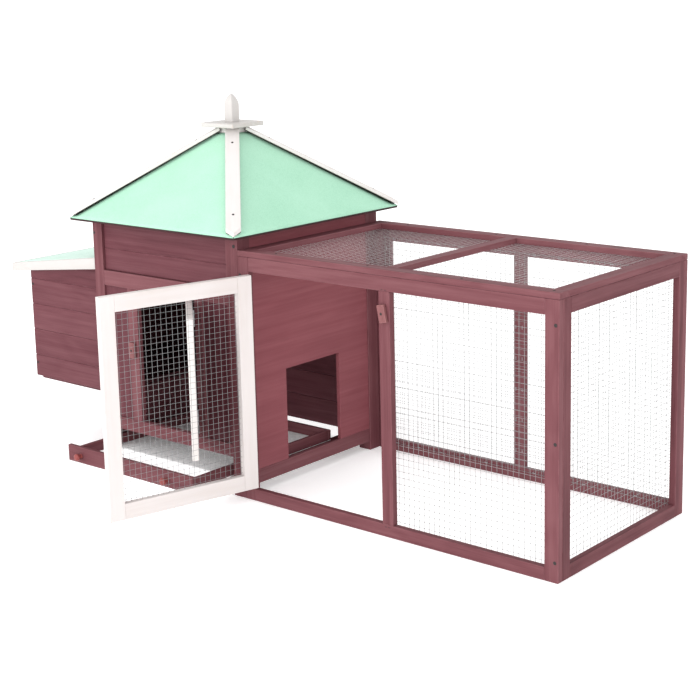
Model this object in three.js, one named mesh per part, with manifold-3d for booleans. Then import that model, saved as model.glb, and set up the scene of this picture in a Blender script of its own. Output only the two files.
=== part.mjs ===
// Chicken coop: small timber house with a hipped felt roof and finial, a lean-to nest box on its
// left side, a slide-out cleaning tray under it, and a wire-mesh run joined to its right side.
// Units are millimetres, +Z up. The front is -Y, the run lies towards +X.
// The origin is the centre of the whole coop's footprint box, at ground level, with the run door,
// the house door and the tray in the positions they are drawn in (open, open, part drawn).
//
// Dimensions below are given in "house" coordinates: x = 0 is the house's right-hand face, where the
// run starts, y = 0 is the run's front face, z = 0 the ground. One group moves them to the origin.
import * as THREE from 'three';
import Module from 'manifold-3d';

const wasm = await Module();
wasm.setup();

// ---------------------------------------------------------------- driving dimensions
const ORIGIN_X = 9.5, ORIGIN_Y = 103.38;   // centre of the footprint box, in house coordinates
const GAP = 0.3;                      // clearance between touching pieces

// run
const RUN_L = 976, RUN_D = 582;       // length along X, depth along Y
const PANEL_T = 18;                   // thickness of every frame panel
const PANEL_H = 654.5;                // height of the upright panels
const TOP_Z0 = 655, TOP_Z1 = 670;     // top frame, laid on the panels
const RAIL = 32;                      // width of the bottom rails
const RAIL_TOP = 617.5;               // underside of the top rails
const STILE_FL = 37.5;                // front frame: left stile
const MID_F = [468, 501.7];           // front frame: middle stile
const STILE_FR = 938.5;               // front frame: right stile starts here
const MID_B = [474, 508];             // back frame: middle stile
const STILE_BR = 948;                 // back frame: right stile starts here
const END_STILE = [32.7, 22];         // end frame stiles, front and back
const TOP_BAR = 39;                   // top frame border
const TOP_CROSS = [465.5, 497];       // top frame cross bar
const MESH_T = 0.8;                   // welded wire panel

// house
const HX0 = -565, HX1 = 0;            // outer faces, left and right
const HY0 = 0, HY1 = 570;             // outer faces, front and back
const POST_L = 37, POST_R = 43, POST_D = 48;   // posts: widths left and right, depth
const POST_TOP = 726.5;
const WALL_T = 12;
const SILL = [105.7, 141.6], HEADER = [519.8, 562.6];
const POP_HOLE = { y: [175, 394], z: [65, 318] };
const NEST_HOLE = { y: [80, 478], z: [190.5, 523.5] };

// roof
const EAVE_X = [-610, 31], EAVE_Y = [-41, 628];
const EAVE_Z = 711, APEX_Z = 958, ROOF_T = 7.5, CAP_X = 28;
const HIP_W = 39, HIP_T = 11;
const PLATE = 125, PLATE_Z = [952, 964];
const SPIRE = 30, SPIRE_STRAIGHT = 1010, SPIRE_TIP = 1044;

// nest box
const NEST_X = [-897, -565.3], NEST_Y = [30, 552], NEST_Z0 = 196, NEST_T = 12;
const LID_X = [-957, -567.5], LID_Y = [10, 572];
const LID_TOP = [538, 591.5], LID_LOW = [514, 558.6], LID_T = 10;
const LID_AXIS = [-565.9, 596.7];

// tray
const TRAY_X = [-525.5, -53.5], TRAY_Y0 = -146, TRAY_Y1 = 410, TRAY_T = 12;
const TRAY_FRONT_X = [-548, -50];      // the front board laps over the left post
const TRAY_FRONT_Z = [40, 86], TRAY_SIDE_Z = [50.3, 80], TRAY_FLOOR_Z = [48.8, 50];
const KNOB_X = [-494, -146], KNOB_Z = 61;

// run door, drawn open
const RD_AXIS = [38, -3], RD_OPEN = -105, RD_X = [0.9, 428.4], RD_Z = [43, 612], RD_BAR = 41;
// house door, drawn open
const HD_AXIS = [-167.6, -2.8], HD_OPEN = 136.7, HD_X = [1.6, 226.6], HD_Z = [144.1, 518.3], HD_T = 17, HD_BAR = 34;
const STILE_L = [-434.4, -397.6], STILE_R = [-167.8, -139.8];   // the doorway is between them
// turn buttons
const BTN_W = 22, BTN_H = 44, BTN_T = 10;
const RUN_BTN = [483.5, 564], HOUSE_BTN = [-417.5, 346.6], RUN_BTN_TILT = 11;

// ---------------------------------------------------------------- materials
const mat = (c, r, m = 0) => new THREE.MeshStandardMaterial({ color: new THREE.Color(c), roughness: r, metalness: m });
const red = () => mat('#8a5a60', 0.75);
const white = () => mat('#f4f1ec', 0.55);
const green = () => mat('#a9e8cc', 0.9);
const steel = () => mat('#b9bcbe', 0.4, 0.9);
const tan = () => mat('#b58a74', 0.7);

// ---------------------------------------------------------------- helpers
const coop = new THREE.Group();
coop.position.set(-ORIGIN_X, -ORIGIN_Y, 0);
const model = new THREE.Group();
model.add(coop);

function add(name, geometry, material, parent = coop) {
  const m = new THREE.Mesh(geometry, material);
  m.name = name;
  parent.add(m);
  return m;
}
function boxGeo(x, y, z) {
  const g = new THREE.BoxGeometry(x[1] - x[0], y[1] - y[0], z[1] - z[0]);
  g.translate((x[0] + x[1]) / 2, (y[0] + y[1]) / 2, (z[0] + z[1]) / 2);
  return g;
}
const box = (name, x, y, z, material, parent) => add(name, boxGeo(x, y, z), material, parent);

// an outline with rectangular holes, extruded; the outline lies in XZ (t along +Y), YZ (t along +X) or XY (t along +Z)
const PLANES = {
  XZ: (t) => new THREE.Matrix4().makeBasis(new THREE.Vector3(1, 0, 0), new THREE.Vector3(0, 0, 1), new THREE.Vector3(0, -1, 0)).setPosition(0, t[1], 0),
  YZ: (t) => new THREE.Matrix4().makeBasis(new THREE.Vector3(0, 1, 0), new THREE.Vector3(0, 0, 1), new THREE.Vector3(1, 0, 0)).setPosition(t[0], 0, 0),
  XY: (t) => new THREE.Matrix4().setPosition(0, 0, t[0]),
};
function sheetGeo(plane, outline, holes, t) {
  const place = (g) => g.applyMatrix4(PLANES[plane](t));
  const shape = new THREE.Shape(outline.map((p) => new THREE.Vector2(p[0], p[1])));
  const depth = t[1] - t[0];
  const plate = new THREE.ExtrudeGeometry(shape, { depth, bevelEnabled: false });
  if (!holes.length) return place(plate);
  let man = solid(plate);
  for (const [a, b] of holes) man = man.subtract(solid(boxGeo(a, b, [-1, depth + 1])));
  return place(geoOf(man));
}
const rect = (a, b) => [[a[0], b[0]], [a[1], b[0]], [a[1], b[1]], [a[0], b[1]]];

// a solid with eight corners: four below (anticlockwise from above), four above
function hexaGeo(low, high) {
  const v = [...low, ...high].flat();
  const idx = [0, 2, 1, 0, 3, 2, 4, 5, 6, 4, 6, 7];
  for (let i = 0; i < 4; i++) {
    const j = (i + 1) % 4;
    idx.push(i, j, j + 4, i, j + 4, i + 4);
  }
  const g = new THREE.BufferGeometry();
  g.setAttribute('position', new THREE.Float32BufferAttribute(v, 3));
  g.setIndex(idx);
  return g;
}

// joining and cutting
function solid(g) {
  const src = g.index ? g.toNonIndexed() : g;
  const p = src.getAttribute('position');
  const map = new Map();
  const verts = [];
  const tris = [];
  for (let i = 0; i < p.count; i++) {
    const q = [p.getX(i), p.getY(i), p.getZ(i)].map((a) => Math.round(a * 1e4) / 1e4);
    const k = q.join(',');
    if (!map.has(k)) { map.set(k, verts.length / 3); verts.push(...q); }
    tris.push(map.get(k));
  }
  return new wasm.Manifold(new wasm.Mesh({ numProp: 3, vertProperties: new Float32Array(verts), triVerts: new Uint32Array(tris) }));
}
function geoOf(man) {
  const m = man.getMesh();
  const g = new THREE.BufferGeometry();
  g.setAttribute('position', new THREE.Float32BufferAttribute(Array.from(m.vertProperties), 3));
  g.setIndex(Array.from(m.triVerts));
  return g;
}

// ---------------------------------------------------------------- house: posts and walls
const PX_L = [HX0, HX0 + POST_L], PX_R = [HX1 - POST_R, HX1];
const PY_F = [HY0, HY0 + POST_D], PY_B = [HY1 - POST_D, HY1];
box('post_front_left', PX_L, PY_F, [0, POST_TOP], red());
box('post_front_right', PX_R, PY_F, [0, POST_TOP], red());
box('post_back_left', PX_L, PY_B, [0, POST_TOP], red());
box('post_back_right', PX_R, PY_B, [0, POST_TOP], red());

const WY = [PY_F[1] + GAP, PY_B[0] - GAP];
const WX = [PX_L[1] + GAP, PX_R[0] - GAP];
add('wall_right', sheetGeo('YZ', rect(WY, [26, 726]), [[POP_HOLE.y, POP_HOLE.z]], [HX1 - 2 - WALL_T, HX1 - 2]), red());
add('wall_left', sheetGeo('YZ', rect(WY, [34, 726]), [[NEST_HOLE.y, NEST_HOLE.z]], [HX0 + 2, HX0 + 2 + WALL_T]), red());
box('wall_back', WX, [HY1 - 2 - WALL_T, HY1 - 2], [34, 736], red());

// front, from the roof down
const RAIL_Y = [HY0 + 0.2, HY0 + 18.2];
box('front_upper_boards', WX, [HY0 + 8, HY0 + 18], [HEADER[1] + GAP, 735], red());
box('front_header_rail', WX, RAIL_Y, HEADER, red());
box('front_sill_rail', WX, RAIL_Y, SILL, red());
const FZ = [SILL[1] + GAP, HEADER[0] - GAP];
box('front_left_panel', [WX[0], STILE_L[0] - GAP], [HY0 + 5.3, HY0 + 15.3], FZ, red());
box('front_left_stile', STILE_L, RAIL_Y, FZ, red());
box('front_right_stile', STILE_R, RAIL_Y, FZ, red());
box('front_right_panel', [STILE_R[1] + GAP, WX[1]], [HY0 + 5.3, HY0 + 15.3], FZ, red());

// ---------------------------------------------------------------- roof
const RCX = (EAVE_X[0] + EAVE_X[1]) / 2, RCY = (EAVE_Y[0] + EAVE_Y[1]) / 2;
const RHX = (EAVE_X[1] - EAVE_X[0]) / 2, RHY = (EAVE_Y[1] - EAVE_Y[0]) / 2;
const SX = (APEX_Z - EAVE_Z) / RHX, SY = (APEX_Z - EAVE_Z) / RHY;
const CAP_Z = APEX_Z - SX * CAP_X, CAP_Y = (APEX_Z - CAP_Z) / SY;
const MITRE = 0.25;
function roofPanel(name, side) {
  // plan outline, anticlockwise from above: two eave corners, then two cap corners
  let plan;
  const m = MITRE;
  if (side === 'front') plan = [[-RHX + m, -RHY], [RHX - m, -RHY], [CAP_X - m, -CAP_Y], [-CAP_X + m, -CAP_Y]];
  if (side === 'back') plan = [[RHX - m, RHY], [-RHX + m, RHY], [-CAP_X + m, CAP_Y], [CAP_X - m, CAP_Y]];
  if (side === 'right') plan = [[RHX, -RHY + m], [RHX, RHY - m], [CAP_X, CAP_Y - m], [CAP_X, -CAP_Y + m]];
  if (side === 'left') plan = [[-RHX, RHY - m], [-RHX, -RHY + m], [-CAP_X, -CAP_Y + m], [-CAP_X, CAP_Y - m]];
  const top = [EAVE_Z, EAVE_Z, CAP_Z, CAP_Z];
  add(name, hexaGeo(plan.map((p, i) => [RCX + p[0], RCY + p[1], top[i] - ROOF_T]), plan.map((p, i) => [RCX + p[0], RCY + p[1], top[i]])), green());
}
roofPanel('roof_panel_front', 'front');
roofPanel('roof_panel_right', 'right');
roofPanel('roof_panel_back', 'back');
roofPanel('roof_panel_left', 'left');

function hipStrip(name, sx, sy) {
  const a = new THREE.Vector3(RCX + sx * RHX, RCY + sy * RHY, EAVE_Z);
  const b = new THREE.Vector3(RCX + sx * CAP_X, RCY + sy * CAP_Y, CAP_Z);
  const d = b.clone().sub(a);
  const len = d.length();
  d.normalize();
  const w = new THREE.Vector3(0, 0, 1).cross(d).normalize();
  const n = d.clone().cross(w);
  const g = new THREE.BoxGeometry(len + 40, HIP_W, HIP_T);
  g.translate((len - 40) / 2, 0, HIP_T / 2 + 0.4);
  g.applyMatrix4(new THREE.Matrix4().makeBasis(d, w, n).setPosition(a));
  // the lower end is cut to follow the two eaves
  const outline = boxGeo([EAVE_X[0] - 1, EAVE_X[1] + 1], [EAVE_Y[0] - 1, EAVE_Y[1] + 1], [600, 1000]);
  add(name, geoOf(solid(g).intersect(solid(outline))), white());
}
hipStrip('hip_strip_front_left', -1, -1);
hipStrip('hip_strip_front_right', 1, -1);
hipStrip('hip_strip_back_right', 1, 1);
hipStrip('hip_strip_back_left', -1, 1);

box('finial_block', [RCX - CAP_X + 0.6, RCX + CAP_X - 0.6], [RCY - CAP_Y + 0.6, RCY + CAP_Y - 0.6], [926, PLATE_Z[0] - GAP], white());
box('finial_plate', [RCX - PLATE / 2, RCX + PLATE / 2], [RCY - PLATE / 2, RCY + PLATE / 2], PLATE_Z, white());
{
  // square post with a bullet point: rings of four corners, closed at the tip
  const rings = [[PLATE_Z[1] + GAP, 1], [SPIRE_STRAIGHT, 1], [1019, 0.93], [1027, 0.8], [1034, 0.6], [1040, 0.34]];
  const v = [], idx = [];
  for (const [z, k] of rings) for (const [a, b] of [[-1, -1], [1, -1], [1, 1], [-1, 1]]) v.push(RCX + a * k * SPIRE / 2, RCY + b * k * SPIRE / 2, z);
  v.push(RCX, RCY, SPIRE_TIP);
  const tip = rings.length * 4;
  idx.push(0, 2, 1, 0, 3, 2);
  for (let r = 0; r < rings.length - 1; r++) for (let i = 0; i < 4; i++) {
    const j = (i + 1) % 4, p = r * 4;
    idx.push(p + i, p + j, p + 4 + j, p + i, p + 4 + j, p + 4 + i);
  }
  for (let i = 0; i < 4; i++) idx.push(tip - 4 + i, tip - 4 + (i + 1) % 4, tip);
  const g = new THREE.BufferGeometry();
  g.setAttribute('position', new THREE.Float32BufferAttribute(v, 3));
  g.setIndex(idx);
  add('finial_spire', g, white());
}

// ---------------------------------------------------------------- nest box
const lidTop = (x) => LID_TOP[0] + (LID_TOP[1] - LID_TOP[0]) * (x - LID_X[0]) / (LID_X[1] - LID_X[0]);
const lidUnder = (x) => lidTop(x) - LID_T * 1.0094;
const NEST_OUT = [[NEST_X[0], NEST_Z0], [NEST_X[1], NEST_Z0], [NEST_X[1], lidUnder(NEST_X[1]) - 1.2], [NEST_X[0], lidUnder(NEST_X[0]) - 1.2]];
add('nest_front_panel', sheetGeo('XZ', NEST_OUT, [], [NEST_Y[0], NEST_Y[0] + NEST_T]), red());
add('nest_back_panel', sheetGeo('XZ', NEST_OUT, [], [NEST_Y[1] - NEST_T, NEST_Y[1]]), red());
const NIN_Y = [NEST_Y[0] + NEST_T + GAP, NEST_Y[1] - NEST_T - GAP];
box('nest_outer_panel', [NEST_X[0], NEST_X[0] + NEST_T], NIN_Y, [NEST_Z0, lidUnder(NEST_X[0]) - 1.5], red());
box('nest_floor', [NEST_X[0] + NEST_T + GAP, NEST_X[1]], NIN_Y, [187, 199], red());

// lid: hinged at the wall, felted board inside a white fascia on three sides
{
  const outer = sheetGeo('XZ', [[LID_X[0], LID_LOW[0]], [LID_X[1], LID_LOW[1]], [LID_X[1], LID_TOP[1]], [LID_X[0], LID_TOP[0]]], [], LID_Y);
  const inner = boxGeo([LID_X[0] + 12, LID_X[1] + 50], [LID_Y[0] + 10, LID_Y[1] - 10], [400, 700]);
  add('nest_lid_fascia', geoOf(solid(outer).subtract(solid(inner))), white());
  const x0 = LID_X[0] + 12 + GAP, x1 = LID_X[1];
  add('nest_lid_board', sheetGeo('XZ', [[x0, lidUnder(x0)], [x1, lidUnder(x1)], [x1, lidTop(x1)], [x0, lidTop(x0)]], [], [LID_Y[0] + 10 + GAP, LID_Y[1] - 10 - GAP]), green());
}

// ---------------------------------------------------------------- tray and its runners
box('tray_front_board', TRAY_FRONT_X, [TRAY_Y0, TRAY_Y0 + TRAY_T], TRAY_FRONT_Z, red());
box('tray_side_left', [TRAY_X[0], TRAY_X[0] + TRAY_T], [TRAY_Y0 + TRAY_T + GAP, TRAY_Y1 - TRAY_T - GAP], TRAY_SIDE_Z, red());
box('tray_side_right', [TRAY_X[1] - TRAY_T, TRAY_X[1]], [TRAY_Y0 + TRAY_T + GAP, TRAY_Y1 - TRAY_T - GAP], TRAY_SIDE_Z, red());
box('tray_back_board', TRAY_X, [TRAY_Y1 - TRAY_T, TRAY_Y1], TRAY_SIDE_Z, red());
box('tray_floor_sheet', [TRAY_X[0] + 1, TRAY_X[1] - 1], [TRAY_Y0 + TRAY_T + GAP, TRAY_Y1 - 1], TRAY_FLOOR_Z, steel());
function knob(name, x) {
  const prof = [[0, 0], [7, 0], [6.2, 3], [6.0, 7], [8.5, 10], [10.5, 13.5], [10.2, 17], [7.5, 19.6], [3.5, 20.8], [0, 21]];
  const g = new THREE.LatheGeometry(prof.map((p) => new THREE.Vector2(p[0], p[1])), 20);
  g.rotateX(Math.PI / 2);                       // lathe axis +Y becomes +Z
  g.rotateX(Math.PI / 2);                       // and then -Y
  g.translate(x, TRAY_Y0 - GAP, KNOB_Z);
  add(name, g, mat('#8c4648', 0.45));
}
knob('tray_knob_left', KNOB_X[0]);
knob('tray_knob_right', KNOB_X[1]);
const RUNNER_Y = [14, HY1 - 2 - WALL_T - GAP];
box('tray_runner_left', [-527.5, -503], RUNNER_Y, [26, 48], red());
box('tray_runner_right', [-72, -43.5], RUNNER_Y, [26, 48], red());

// ---------------------------------------------------------------- run panels
add('run_front_frame', sheetGeo('XZ', rect([GAP, RUN_L], [0, PANEL_H]),
  [[[STILE_FL, MID_F[0]], [RAIL, RAIL_TOP]], [[MID_F[1], STILE_FR], [RAIL, RAIL_TOP]]], [0, PANEL_T]), red());
const END_Y = [PANEL_T + GAP, RUN_D - PANEL_T - GAP];
add('run_end_frame', sheetGeo('YZ', rect(END_Y, [0, PANEL_H]), [[[END_Y[0] + END_STILE[0], END_Y[1] - END_STILE[1]], [RAIL, RAIL_TOP]]], [RUN_L - PANEL_T, RUN_L]), red());
add('run_back_frame', sheetGeo('XZ', rect([GAP, RUN_L], [0, PANEL_H]),
  [[[50, MID_B[0]], [RAIL, RAIL_TOP]], [[MID_B[1], STILE_BR], [RAIL, RAIL_TOP]]], [RUN_D - PANEL_T, RUN_D]), red());
add('run_top_frame', sheetGeo('XY', rect([GAP, RUN_L], [0, RUN_D]),
  [[[TOP_BAR, TOP_CROSS[0]], [TOP_BAR, RUN_D - TOP_BAR]], [[TOP_CROSS[1], RUN_L - 38], [TOP_BAR, RUN_D - TOP_BAR]]], [TOP_Z0, TOP_Z1]), red());

box('run_mesh_front', [MID_F[1] - 12, 952], [PANEL_T + GAP, PANEL_T + GAP + MESH_T], [RAIL - 12, RAIL_TOP + 12], steel());
box('run_mesh_end', [RUN_L - PANEL_T - GAP - MESH_T, RUN_L - PANEL_T - GAP], [28, 554], [RAIL - 12, RAIL_TOP + 12], steel());
box('run_mesh_back', [32, 955], [RUN_D - PANEL_T - GAP - MESH_T, RUN_D - PANEL_T - GAP], [RAIL - 12, RAIL_TOP + 12], steel());
box('run_mesh_top', [24, 950], [24, 558], [TOP_Z0 - GAP - MESH_T, TOP_Z0 - GAP], steel());

// ---------------------------------------------------------------- run door, hinged on the left stile
const runDoor = new THREE.Group();
runDoor.position.set(RD_AXIS[0], RD_AXIS[1], 0);
runDoor.rotation.z = THREE.MathUtils.degToRad(RD_OPEN);
coop.add(runDoor);
const RD_Y = [3, 3 + PANEL_T];
const RD_HOLE = [[RD_X[0] + RD_BAR, RD_X[1] - RD_BAR], [RD_Z[0] + RD_BAR, RD_Z[1] - RD_BAR]];
add('run_door_frame', sheetGeo('XZ', rect(RD_X, RD_Z), [RD_HOLE], RD_Y), white(), runDoor);
box('run_door_mesh', [RD_HOLE[0][0] + GAP, RD_HOLE[0][1] - GAP], [11.6, 11.6 + MESH_T], [RD_HOLE[1][0] + GAP, RD_HOLE[1][1] - GAP], steel(), runDoor);

// ---------------------------------------------------------------- house door, hinged on the right stile
const houseDoor = new THREE.Group();
houseDoor.position.set(HD_AXIS[0], HD_AXIS[1], 0);
houseDoor.rotation.z = THREE.MathUtils.degToRad(180 + HD_OPEN);
coop.add(houseDoor);
const HD_Y = [-3 - HD_T, -3];
const HD_HOLE = [[HD_X[0] + HD_BAR, HD_X[1] - HD_BAR], [HD_Z[0] + HD_BAR, HD_Z[1] - HD_BAR]];
add('house_door_frame', sheetGeo('XZ', rect(HD_X, HD_Z), [HD_HOLE], HD_Y), white(), houseDoor);
box('house_door_panel', [HD_HOLE[0][0] + GAP, HD_HOLE[0][1] - GAP], [-15, -7], [HD_HOLE[1][0] + GAP, HD_HOLE[1][1] - GAP], red(), houseDoor);

// ---------------------------------------------------------------- turn buttons
function button(name, x, z, yBack, tilt) {
  const r = 5, w = BTN_W / 2, h = BTN_H / 2;
  const s = new THREE.Shape();
  s.moveTo(-w + r, -h); s.lineTo(w - r, -h); s.absarc(w - r, -h + r, r, -Math.PI / 2, 0, false);
  s.lineTo(w, h - r); s.absarc(w - r, h - r, r, 0, Math.PI / 2, false);
  s.lineTo(-w + r, h); s.absarc(-w + r, h - r, r, Math.PI / 2, Math.PI, false);
  s.lineTo(-w, -h + r); s.absarc(-w + r, -h + r, r, Math.PI, Math.PI * 1.5, false);
  const g = new THREE.ExtrudeGeometry(s, { depth: BTN_T, bevelEnabled: false, curveSegments: 4 });
  g.rotateZ(THREE.MathUtils.degToRad(tilt));
  g.applyMatrix4(PLANES.XZ([0, yBack]));
  g.translate(x, 0, z);
  add(name, g, tan());
}
button('run_turn_button', RUN_BTN[0], RUN_BTN[1], -0.5, RUN_BTN_TILT);
button('house_turn_button', HOUSE_BTN[0], HOUSE_BTN[1], RAIL_Y[0] - 0.5, 0);

// ---------------------------------------------------------------- hinges: fixed leaf and barrel in one
// section about the pin: barrel at the origin, leaf running to -X with its back at +Y
function hingeSection(leaf, r = 2.6, t = 1.2) {
  const pts = [[-leaf, r], [-leaf, r - t]];
  const a0 = Math.PI - Math.asin((r - t) / r), a1 = Math.PI * 2.5;
  for (let i = 0; i <= 14; i++) {
    const a = a0 + (a1 - a0) * i / 14;
    pts.push([r * Math.cos(a), r * Math.sin(a)]);
  }
  return pts;
}
function zHinge(name, axis, z, leaf, height) {
  const pts = hingeSection(leaf);
  add(name, sheetGeo('XY', pts.map((p) => [p[0] + axis[0], p[1] + axis[1]]), [], [z - height / 2, z + height / 2]), steel());
}
zHinge('run_door_hinge_top', RD_AXIS, 520, 27, 60);
zHinge('run_door_hinge_bottom', RD_AXIS, 135, 27, 60);
// the house door's leaves lie between the door and the stile, so that only the barrel shows
function jambHinge(name, z, height) {
  const barrel = new THREE.CylinderGeometry(2.4, 2.4, height, 16).rotateX(Math.PI / 2).translate(HD_AXIS[0], HD_AXIS[1], z);
  const leaf = boxGeo([STILE_R[0] - 1.2, STILE_R[0] - 0.1], [HD_AXIS[1], HD_AXIS[1] + 16], [z - height / 2, z + height / 2]);
  add(name, geoOf(solid(barrel).add(solid(leaf))), steel());
}
jambHinge('house_door_hinge_top', 469, 46);
jambHinge('house_door_hinge_bottom', 193, 46);
function lidHinge(name, y) {
  // leaf rises up the wall from the pin, barrel along Y
  const pts = hingeSection(26).map((p) => [p[1] + LID_AXIS[0], -p[0] + LID_AXIS[1]]);
  add(name, sheetGeo('XZ', pts, [], [y - 27, y + 27]), steel());
}
lidHinge('nest_lid_hinge_front', 150);
lidHinge('nest_lid_hinge_back', 432);

export default model;
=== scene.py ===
import bpy, bmesh, math
import numpy as np
from mathutils import Vector, Matrix


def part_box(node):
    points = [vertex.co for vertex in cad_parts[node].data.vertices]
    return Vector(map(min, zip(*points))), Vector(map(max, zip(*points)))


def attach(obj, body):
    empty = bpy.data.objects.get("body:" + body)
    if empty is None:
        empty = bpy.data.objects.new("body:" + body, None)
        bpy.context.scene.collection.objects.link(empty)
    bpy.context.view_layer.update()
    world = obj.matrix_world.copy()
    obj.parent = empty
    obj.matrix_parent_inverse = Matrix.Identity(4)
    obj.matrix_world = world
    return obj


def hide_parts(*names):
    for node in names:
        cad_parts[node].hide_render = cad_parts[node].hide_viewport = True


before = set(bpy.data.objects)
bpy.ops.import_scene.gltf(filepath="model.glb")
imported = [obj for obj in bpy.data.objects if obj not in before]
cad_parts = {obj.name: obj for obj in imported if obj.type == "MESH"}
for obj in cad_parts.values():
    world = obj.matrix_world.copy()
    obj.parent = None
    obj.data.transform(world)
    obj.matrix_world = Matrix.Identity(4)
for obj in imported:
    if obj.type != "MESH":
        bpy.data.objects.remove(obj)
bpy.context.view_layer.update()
rng = np.random.default_rng(20)

# The design's own coordinates are millimetres from the run's front left foot; row() turns them into the frame's metres.
_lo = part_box("run_top_frame")[0]
OX, OY = _lo.x - 0.0003, _lo.y


def row(x, y, z):
    return Vector((OX + x / 1000, OY + y / 1000, z / 1000))


# ------------------------------------------------------------------ materials
def new_mat(name):
    m = bpy.data.materials.new(name)
    m.use_nodes = True
    nt = m.node_tree
    nt.nodes.clear()
    out = nt.nodes.new("ShaderNodeOutputMaterial")
    bsdf = nt.nodes.new("ShaderNodeBsdfPrincipled")
    nt.links.new(bsdf.outputs[0], out.inputs[0])
    return m, nt, bsdf


class N:
    """Small helper for wiring nodes."""
    def __init__(self, nt):
        self.nt = nt

    def node(self, kind, **props):
        n = self.nt.nodes.new(kind)
        for k, v in props.items():
            setattr(n, k, v)
        return n

    def put(self, socket, value):
        if isinstance(value, (int, float, tuple, list)):
            socket.default_value = value
        else:
            self.nt.links.new(value, socket)

    def attr(self, name, fac=False):
        n = self.node("ShaderNodeAttribute", attribute_name=name)
        return n.outputs["Fac"] if fac else n.outputs["Vector"]

    def objco(self):
        return self.node("ShaderNodeTexCoord").outputs["Object"]

    def vmul(self, v, s):
        n = self.node("ShaderNodeVectorMath", operation="MULTIPLY")
        self.put(n.inputs[0], v)
        self.put(n.inputs[1], s)
        return n.outputs[0]

    def vadd(self, v, s):
        n = self.node("ShaderNodeVectorMath", operation="ADD")
        self.put(n.inputs[0], v)
        self.put(n.inputs[1], s)
        return n.outputs[0]

    def math(self, op, a, b=None, clamp=False):
        n = self.node("ShaderNodeMath", operation=op, use_clamp=clamp)
        self.put(n.inputs[0], a)
        if b is not None:
            self.put(n.inputs[1], b)
        return n.outputs[0]

    def noise(self, v, scale=1.0, detail=4.0, rough=0.55, dist=0.0):
        n = self.node("ShaderNodeTexNoise")
        self.put(n.inputs["Vector"], v)
        n.inputs["Scale"].default_value = scale
        n.inputs["Detail"].default_value = detail
        n.inputs["Roughness"].default_value = rough
        n.inputs["Distortion"].default_value = dist
        return n.outputs["Fac"]

    def ramp(self, fac, stops):
        n = self.node("ShaderNodeValToRGB")
        cr = n.color_ramp
        while len(cr.elements) < len(stops):
            cr.elements.new(0.5)
        for e, (p, c) in zip(cr.elements, stops):
            e.position = p
            e.color = (*c, 1) if len(c) == 3 else c
        self.put(n.inputs[0], fac)
        return n.outputs[0]

    def map(self, v, a, b, c=0.0, d=1.0):
        n = self.node("ShaderNodeMapRange")
        self.put(n.inputs[0], v)
        for i, x in enumerate((a, b, c, d)):
            n.inputs[i + 1].default_value = x
        return n.outputs[0]

    def mix(self, fac, a, b, blend="MIX"):
        n = self.node("ShaderNodeMix", data_type="RGBA", blend_type=blend)
        self.put(n.inputs[0], fac)
        for s, v in ((n.inputs[6], a), (n.inputs[7], b)):
            if isinstance(v, tuple):
                s.default_value = (*v, 1) if len(v) == 3 else v
            else:
                self.nt.links.new(v, s)
        return n.outputs[2]

    def bump(self, height, strength, dist, normal=None):
        n = self.node("ShaderNodeBump")
        n.inputs["Strength"].default_value = strength
        n.inputs["Distance"].default_value = dist
        self.put(n.inputs["Height"], height)
        if normal is not None:
            self.nt.links.new(normal, n.inputs["Normal"])
        return n.outputs[0]


def lin(c):
    """sRGB 0-255 to linear."""
    return tuple((x / 255 / 12.92) if x / 255 <= 0.04045 else ((x / 255 + 0.055) / 1.055) ** 2.4 for x in c)


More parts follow.
